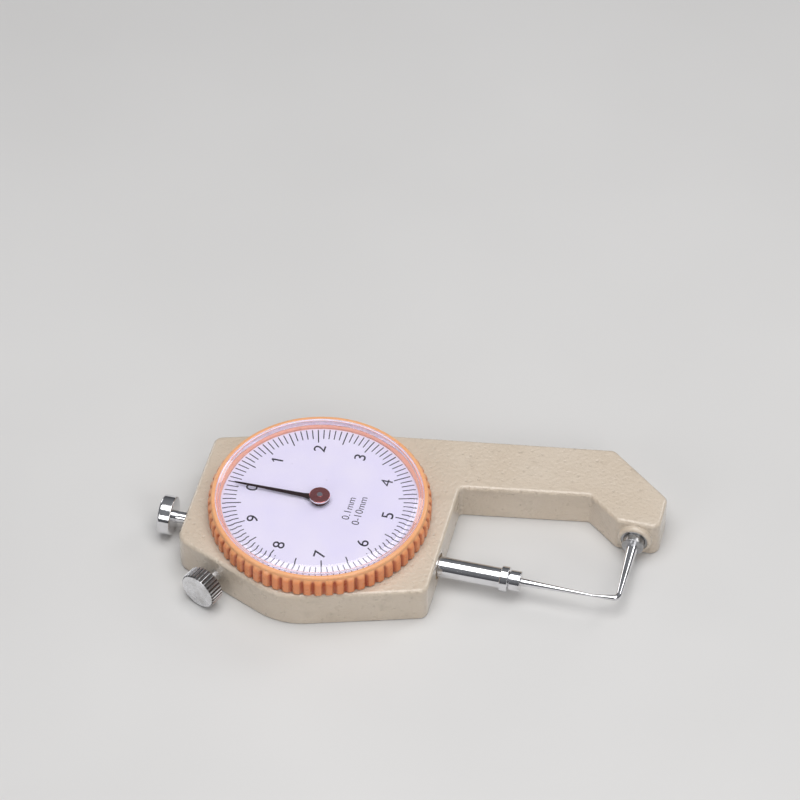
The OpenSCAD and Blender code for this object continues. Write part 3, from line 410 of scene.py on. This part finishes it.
def spinRound(bm, section, steps):
    # closed section of (radius, height) in mm, spun round Z
    verts = [bm.verts.new((r * mm, 0, z * mm)) for r, z in section]
    edges = [bm.edges.new(pair) for pair in zip(verts, verts[1:] + verts[:1])]
    bmesh.ops.spin(bm, geom=verts + edges, cent=(0, 0, 0), axis=(0, 0, 1), angle=2 * math.pi,
                   steps=steps, use_merge=True)
    bmesh.ops.remove_doubles(bm, verts=bm.verts, dist=close)
    bmesh.ops.recalc_face_normals(bm, faces=bm.faces)


def plainMesh(bm, name):
    mesh = bpy.data.meshes.new(name)
    bm.to_mesh(mesh)
    bm.free()
    return mesh


def finishMesh(bm, name, angle=32):
    smoothUnder(bm, angle)
    return plainMesh(bm, name)


# Small changes to carried-over shapes

anvilPad = {"x": 77.2, "z": 5.25, "radius": 4.3, "face": 13.9, "soft": 0.75, "segments": 4,
            "nearRadius": 0.03, "nearFace": 0.05}


def softenPad(bm, s=anvilPad):
    # rounds the rim of the painted pad round the anvil
    def onRim(v):
        out = math.hypot(v.co.x - s["x"] * mm, v.co.z - s["z"] * mm)
        isRound = abs(out - s["radius"] * mm) < s["nearRadius"] * mm
        return isRound and abs(v.co.y - s["face"] * mm) < s["nearFace"] * mm
    rim = [e for e in bm.edges if onRim(e.verts[0]) and onRim(e.verts[1])]
    bmesh.ops.bevel(bm, geom=rim, offset=s["soft"] * mm, segments=s["segments"], profile=0.5,
                    affect="EDGES", material=-1)


pointerShape = {"rest": 181.3, "turn": -1.75, "root": 4.4, "near": 0.01, "slimRoot": 0.66, "slimTip": 0.75}


def slimPointer(bm, s=pointerShape):
    # a narrower blade with the same hub, set where the photographed one rests
    bmesh.ops.rotate(bm, verts=bm.verts, matrix=turned(-s["rest"], 3))
    bmesh.ops.bisect_plane(bm, geom=[*bm.verts, *bm.edges, *bm.faces], dist=close,
                           plane_co=(s["root"] * mm, 0, 0), plane_no=(1, 0, 0))
    root = [v for v in bm.verts if abs(v.co.x - s["root"] * mm) < s["near"] * mm]
    tip = [v for v in bm.verts if v.co.x > (s["root"] + s["near"]) * mm]
    bmesh.ops.scale(bm, vec=(1, s["slimRoot"], 1), verts=root)
    bmesh.ops.scale(bm, vec=(1, s["slimTip"], 1), verts=tip)
    bmesh.ops.rotate(bm, verts=bm.verts, matrix=turned(s["rest"] + s["turn"], 3))


hubTop = {"above": 15.5, "lift": 0.5}


def raiseHub(bm, s=hubTop):
    # the photographed hub stands a little taller over the dial
    top = [v for v in bm.verts if v.co.z > s["above"] * mm]
    bmesh.ops.translate(bm, vec=(0, 0, s["lift"] * mm), verts=top)


lockHead = {"spot": (-21.0044, -21.8681, 5.25), "along": (-0.39578, -0.91834, 0),
            "radius": 5.0, "depth": 0.35, "slack": 0.1, "faceRim": 0.02}


def markKnurl(bm, s=lockHead):
    # how deep each point lies in the knurl, for the painted shade there
    layer = bm.verts.layers.float.new("groove")
    along = Vector(s["along"]).normalized()
    steps = [(v.co - Vector(s["spot"]) * mm).dot(along) for v in bm.verts]
    far = max(steps)
    for v, step in zip(bm.verts, steps):
        out = (v.co - Vector(s["spot"]) * mm - along * step).length / mm
        if out > s["radius"] - s["depth"] - s["slack"] and far - step > s["faceRim"] * mm:
            v[layer] = min(1, max(0, (s["radius"] - out) / s["depth"]))


# Carried-over shapes that show

carried = {"weld": 0.002, "flat": 0.2}  # points nearer than this are merged, faces flatter than this joined


def fineCopy(node, name, material, slotName, angle=32, width=0, shape=None, s=carried):
    # the node's own shape, welded, with smooth shading and broken edges
    bm = bmesh.new()
    bm.from_mesh(nodes[node].data)
    bmesh.ops.remove_doubles(bm, verts=bm.verts, dist=s["weld"] * mm)
    bmesh.ops.dissolve_limit(bm, angle_limit=math.radians(s["flat"]), verts=bm.verts, edges=bm.edges)
    if shape:
        shape(bm)
    mesh = finishMesh(bm, name, angle)
    if "custom_normal" in mesh.attributes:
        mesh.attributes.remove(mesh.attributes["custom_normal"])
    piece = addPiece(name, mesh, bodyOf[node], material, slotName, node)
    fineEdges(piece, width, angle)


shownNodes = {
    "frame_casting": {"name": "frameCasting", "material": "creamPaint", "slotName": "cream_paint",
                      "angle": 40, "shape": softenPad},
    "crystal": {"name": "crystal", "material": "clearAcrylic", "slotName": "clear_acrylic", "width": 0.12},
    "dial_plate": {"name": "dialPlate", "material": "dialWhite", "slotName": "white_dial"},
    "spindle_rod": {"name": "spindleRod", "material": "chrome", "slotName": "chrome"},
    "lift_button": {"name": "liftButton", "material": "chrome", "slotName": "chrome"},
    "clamp_ring": {"name": "clampRing", "material": "chrome", "slotName": "chrome", "width": 0.15},
    "needle_contact": {"name": "needleContact", "material": "chrome", "slotName": "chrome", "width": 0.1},
    "anvil_holder": {"name": "anvilHolder", "material": "groundSteel", "slotName": "steel", "width": 0.15},
    "anvil_point": {"name": "anvilPoint", "material": "chrome", "slotName": "chrome"},
    "lock_screw": {"name": "lockScrew", "material": "knurledChrome", "slotName": "chrome", "angle": 25,
                   "shape": markKnurl},
    "pointer_blade": {"name": "pointerBlade", "material": "blackPaint", "slotName": "black_paint",
                      "width": 0.05, "shape": slimPointer},
    "pointer_bush": {"name": "pointerBush", "material": "blackPaint", "slotName": "black_paint",
                     "width": 0.06},
    "pointer_cap": {"name": "pointerCap", "material": "darkHub", "slotName": "chrome", "width": 0.1,
                    "shape": raiseHub},
    "centre_arbor": {"name": "centreArbor", "material": "chrome", "slotName": "steel", "shape": raiseHub},
    "back_cover": {"name": "backCover", "material": "brushedSteel", "slotName": "steel", "width": 0.12},
    "front_bush": {"name": "frontBush", "material": "brass", "slotName": "brass", "width": 0.1},
    "rear_bush": {"name": "rearBush", "material": "brass", "slotName": "brass", "width": 0.1},
}

for node, settings in shownNodes.items():
    fineCopy(node, **settings)
print("shown pieces made,", len(shownNodes))


# Bezel ring: one loop drawn round the section, its ribs sloping into the rim

bezelShape = {
    "ribs": 64, "perRib": 12, "hollow": (1.0, 0.86, 0.42, 0.05),  # a groove's depth, from its middle outwards
    "crown": {"radius": 26.5, "height": 15.8, "bend": 0.6, "step": 15},
    "outside": ((25.0, 10.8, 0), (27.0, 10.8, 0), (27.72, 10.8, 0.5), (27.85, 10.93, 0.6),
                (27.85, 14.5, 0.72), (27.76, 14.76, 0.66), (27.28, 15.34, 0.22), (27.13, 15.5, 0.03),
                (27.08, 15.62, 0)),
    "inside": ((26.08, 16.4, 0), (26.0, 16.32, 0), (26.0, 14.7, 0), (24.25, 14.7, 0), (24.25, 14.1, 0),
               (25.0, 14.1, 0), (25.0, 12.9, 0), (25.55, 12.9, 0), (25.55, 11.3, 0), (25.0, 11.3, 0)),
    "fullShadeDepth": 0.6, "angle": 34}


def bezelSection(s):
    # radius, height and depth of the grooves, in mm, from the skirt's foot round the rim to the inside
    c = s["crown"]
    turns = [math.radians(a) for a in range(0, 91, c["step"])]
    crown = [(c["radius"] + c["bend"] * math.cos(a), c["height"] + c["bend"] * math.sin(a), 0) for a in turns]
    return [*s["outside"], *crown, *s["inside"]]


def makeBezel(s=bezelShape):
    bm = bmesh.new()
    grooveShadeLayer = bm.verts.layers.float.new("groove")
    points = s["ribs"] * s["perRib"]
    bmesh.ops.create_circle(bm, segments=points, radius=1)
    first = loop = list(bm.edges)
    ring = list(bm.verts)
    for k, (radius, height, depth) in enumerate(bezelSection(s)):
        if k:
            made = bmesh.ops.extrude_edge_only(bm, edges=loop)["geom"]
            ring = [v for v in made if isinstance(v, bmesh.types.BMVert)]
            inRing = set(ring)
            loop = [e for e in made if isinstance(e, bmesh.types.BMEdge) and inRing.issuperset(e.verts)]
        for v in ring:
            turn = math.atan2(v.co.y, v.co.x)
            step = round(turn / (2 * math.pi) * points) % s["perRib"]
            share = dict(enumerate(s["hollow"])).get(min(step, s["perRib"] - step), 0)
            reach = (radius - depth * share) * mm
            v.co = (reach * math.cos(turn), reach * math.sin(turn), height * mm)
            # groove depth kept on each point, for the painted shade in the grooves
            v[grooveShadeLayer] = share * min(1, depth / s["fullShadeDepth"])
    bmesh.ops.bridge_loops(bm, edges=first + loop)
    bmesh.ops.recalc_face_normals(bm, faces=bm.faces)
    mesh = finishMesh(bm, "bezelRing", s["angle"])
    addPiece("bezelRing", mesh, "bezel", "orangePlastic", "orange_plastic", "bezel_ring")


makeBezel()
print("bezel made")


# Ring in the sunk seat of the anvil, and slotted screws in the back

seatRing = {"section": ((2.80, 14.10), (2.86, 14.04), (3.28, 14.04), (3.36, 14.12), (3.36, 14.86),
                        (2.80, 14.86)),
            "steps": 64}


def makeSeatRing(s=seatRing):
    bm = bmesh.new()
    spinRound(bm, s["section"], s["steps"])
    tipped = Matrix.Rotation(math.radians(-90), 4, "X")  # its axis from Z to Y
    place = Matrix.Translation(Vector((anvilPad["x"], 0, anvilPad["z"])) * mm) @ tipped
    bmesh.ops.transform(bm, matrix=place, verts=bm.verts)
    addPiece("anvilSeatRing", finishMesh(bm, "anvilSeatRing"), "frame", "groundSteel", "steel")


coverScrews = {"circle": 23.25, "first": 60, "slots": (20, 75, 128, 41), "head": 1.4, "headDeep": 0.6,
               "shank": 0.8, "long": 5.0, "slotDeep": 0.32, "slotWide": 0.5, "steps": 32}


def screwParts(s):
    # the shank below the slot's floor, and the two halves of the head beside the slot
    floor = s["head"] - (s["head"] - s["shank"]) * s["slotDeep"] / s["headDeep"]
    core = bmesh.new()
    spinRound(core, ((0, s["slotDeep"]), (floor, s["slotDeep"]), (s["shank"], s["headDeep"]),
                     (s["shank"], s["long"]), (0, s["long"])), s["steps"])
    parts = [core]
    for side in (0, 180):
        half = bmesh.new()
        spinRound(half, ((0, 0), (s["head"], 0), (floor, s["slotDeep"]), (0, s["slotDeep"])), s["steps"])
        cut = bmesh.ops.bisect_plane(half, geom=[*half.verts, *half.edges, *half.faces], clear_inner=True,
                                     plane_co=(s["slotWide"] / 2 * mm, 0, 0), plane_no=(1, 0, 0))["geom_cut"]
        bmesh.ops.edgeloop_fill(half, edges=[e for e in cut if isinstance(e, bmesh.types.BMEdge)])
        bmesh.ops.recalc_face_normals(half, faces=half.faces)
        bmesh.ops.rotate(half, verts=half.verts, matrix=turned(side, 3))
        parts.append(half)
    return parts


def makeCoverScrews(s=coverScrews):
    done = bmesh.new()
    for i, slot in enumerate(s["slots"]):
        about = turned(s["first"] + 360 / len(s["slots"]) * i)
        place = about @ Matrix.Translation((s["circle"] * mm, 0, 0)) @ turned(slot)
        for part in screwParts(s):
            bmesh.ops.transform(part, matrix=place, verts=part.verts)
            mesh = finishMesh(part, "screw")
            done.from_mesh(mesh)
            bpy.data.meshes.remove(mesh)
    mesh = finishMesh(done, "backCoverScrews")
    addPiece("backCoverScrews", mesh, "frame", "groundSteel", "steel", "back_cover_screws")


makeSeatRing()
makeCoverScrews()
print("seat ring and cover screws made")


# Finishes on the nodes that stay as they are

innerFinish = {"steel": "brushedSteel", "brass": "brass", "chrome": "chrome", "black_paint": "blackPaint"}
remade = {*shownNodes, "bezel_ring", "back_cover_screws"}
for part in frame["record"]["subparts"]:
    if part["node"] not in remade:
        mesh = nodes[part["node"]].data
        mesh.materials.clear()
        mesh.materials.append(finish[innerFinish[part["material_slot"]]])
print("inner nodes finished,", len(nodes) - len(remade))


# Print on the dial

dialPrint = {"top": 14.1, "ink": 0.02, "sunk": 0.03, "start": 177.8}
dialScale = {"count": 100, "group": 5, "outer": 23.9, "long": 4.3, "short": 3.05,
             "longWidth": 0.29, "shortWidth": 0.26}
dialFigures = {"count": 10, "radius": 17.6, "high": 2.95, "wide": 1.13, "bold": 0.003, "thin": {4: -0.007},
               "shift": {0: (0, -0.5), 1: (0, -0.25), 2: (0.25, 0), 7: (-0.3, 0)}}
flagOfOne = {"spot": (-14.88, 10.27), "long": 1.05, "broad": 0.3, "turn": -49, "lower": 0.003}
dialUnits = {"lines": {"0.1mm": {"centre": (7.6, -0.75), "long": 7.4},
                       "0-10mm": {"centre": (10.4, -0.9), "long": 9.3}},
             "high": 1.9, "bold": -0.004}
inkDeep = dialPrint["ink"] + dialPrint["sunk"]
inkMiddle = dialPrint["top"] + dialPrint["ink"] - inkDeep / 2


def dialMarks(s=dialScale):
    bm = bmesh.new()
    for i in range(s["count"]):
        isLong = i % s["group"] == 0
        length = s["long"] if isLong else s["short"]
        width = s["longWidth"] if isLong else s["shortWidth"]
        place = (turned(dialPrint["start"] - 360 / s["count"] * i)
                 @ Matrix.Translation(Vector((s["outer"] - length / 2, 0, inkMiddle)) * mm)
                 @ Matrix.Diagonal((length * mm, width * mm, inkDeep * mm, 1)))
        bmesh.ops.create_cube(bm, size=1, matrix=place)
    addPiece("dialMarks", plainMesh(bm, "dialMarks"), "bezel", "dialInk", "black_paint")


def wordMesh(words, high, bold):
    curve = bpy.data.curves.new("words", "FONT")
    curve.body = words
    curve.resolution_u = 5
    curve.extrude = inkDeep / 2 / high
    curve.offset = bold
    holder = bpy.data.objects.new("words", curve)
    bpy.context.scene.collection.objects.link(holder)
    mesh = bpy.data.meshes.new_from_object(holder.evaluated_get(bpy.context.evaluated_depsgraph_get()))
    bpy.data.objects.remove(holder)
    bpy.data.curves.remove(curve)
    return mesh


def placeWords(bm, words, centre, high, bold, widen=1, long=None):
    # up is -X: the print is read with the button at the top
    mesh = wordMesh(words, high, bold)
    spots = [v.co for v in mesh.vertices]
    low = Vector([min(c[k] for c in spots) for k in range(3)])
    top = Vector([max(c[k] for c in spots) for k in range(3)])
    size = high * mm / (top.y - low.y)
    wide = long * mm / (top.x - low.x) if long else size * widen
    mesh.transform(Matrix.Translation(-(low + top) / 2))
    mesh.transform(Matrix.Diagonal((wide, size, inkDeep * mm / (top.z - low.z), 1)))
    mesh.transform(turned(90))
    mesh.transform(Matrix.Translation(Vector((*centre, inkMiddle)) * mm))
    bm.from_mesh(mesh)
    bpy.data.meshes.remove(mesh)


def placeFigures(bm, s=dialFigures):
    for k in range(s["count"]):
        angle = math.radians(dialPrint["start"] - 360 / s["count"] * k)
        across, up = s["shift"].get(k, (0, 0))
        spot = (s["radius"] * math.cos(angle) + across, s["radius"] * math.sin(angle) + up)
        placeWords(bm, str(k), spot, s["high"], s["thin"].get(k, s["bold"]), s["wide"])


def placeFlag(bm, s=flagOfOne):
    # the short stroke at the head of the 1
    place = Matrix.Translation(Vector((*s["spot"], inkMiddle - s["lower"])) * mm) @ turned(s["turn"])
    bmesh.ops.create_cube(bm, size=mm, matrix=place @ Matrix.Diagonal((s["long"], s["broad"], inkDeep, 1)))


def dialWords(s=dialUnits):
    bm = bmesh.new()
    placeFigures(bm)
    placeFlag(bm)
    for words, line in s["lines"].items():
        placeWords(bm, words, line["centre"], s["high"], s["bold"], long=line["long"])
    bmesh.ops.remove_doubles(bm, verts=bm.verts, dist=close)
    bmesh.ops.recalc_face_normals(bm, faces=bm.faces)
    addPiece("dialWords", plainMesh(bm, "dialWords"), "bezel", "dialInk", "black_paint")


dialMarks()
dialWords()
print("dial printed")


# Floor, light and camera

paleFloor = {"colour": (0.64, 0.63, 0.62), "pale": (0.68, 0.67, 0.66), "rough": 0.7,
             "cloud": {"grain": 120, "detail": 3, "low": 0.3, "high": 0.7}, "steps": 8, "reach": 3.0}
studio = {"zenith": (0.20, 0.205, 0.215), "horizon": (0.06, 0.06, 0.065), "fade": (0.05, 0.75),
          "lights": {"overhead": {"spot": (30, -30, 620), "size": 520, "power": 2.9},
                     "fill": {"spot": (380, -420, 420), "size": 300, "power": 1.0},
                     "front": {"spot": (-260, -560, 330), "size": 240, "power": 0.6},
                     "backRight": {"spot": (380, 440, 380), "size": 220, "power": 0.6},
                     "backLeft": {"spot": (-520, 430, 170), "size": 200, "power": 0.4}}}
cameraSet = {"lens": 172.8, "sensor": 36, "near": 0.01, "place": (173.74, -610.02, 728.33),
             "right": (0.96988, 0.24356, 0.0), "up": (-0.1778, 0.708, 0.6834)}


def makeFloor(s=paleFloor):
    material, tree, shader, place = startFinish("paleFloor", s["colour"])
    colour = mixColours(tree, cloudField(tree, place, **s["cloud"]), s["colour"], s["pale"])
    tree.links.new(colour, shader.inputs["Base Color"])
    shader.inputs["Roughness"].default_value = s["rough"]
    bm = bmesh.new()
    bmesh.ops.create_grid(bm, x_segments=s["steps"], y_segments=s["steps"], size=s["reach"])
    mesh = plainMesh(bm, "paleFloor")
    mesh.materials.append(material)
    floor = bpy.data.objects.new("paleFloor", mesh)
    bpy.context.scene.collection.objects.link(floor)


def makeLights(s=studio):
    world = bpy.data.worlds.new("studio")
    world.use_nodes = True
    tree = world.node_tree
    up = heightField(tree, tree.nodes.new("ShaderNodeTexCoord").outputs["Generated"])
    sky = mixColours(tree, remap(tree, up, *s["fade"]), s["horizon"], s["zenith"])  # pale above
    tree.links.new(sky, tree.nodes["Background"].inputs["Color"])
    bpy.context.scene.world = world
    bpy.context.scene.view_settings.view_transform = "Standard"
    for name, light in s["lights"].items():
        lamp = bpy.data.lights.new(name, "AREA")
        lamp.size = light["size"] * mm
        lamp.energy = light["power"]
        holder = bpy.data.objects.new(name, lamp)
        holder.location = Vector(light["spot"]) * mm
        holder.rotation_euler = (-holder.location).to_track_quat("-Z", "Y").to_euler()
        bpy.context.scene.collection.objects.link(holder)


def makeCamera(s=cameraSet):
    data = bpy.data.cameras.new("photoCamera")
    data.lens = s["lens"]
    data.sensor_width = s["sensor"]
    data.clip_start = s["near"]
    camera = bpy.data.objects.new("photoCamera", data)
    right, up = Vector(s["right"]).normalized(), Vector(s["up"]).normalized()
    turn = Matrix((right, up, right.cross(up))).transposed()
    camera.matrix_world = Matrix.Translation(Vector(s["place"]) * mm) @ turn.to_4x4()
    bpy.context.scene.collection.objects.link(camera)
    bpy.context.scene.camera = camera


makeFloor()
makeLights()
makeCamera()
print("stage set")
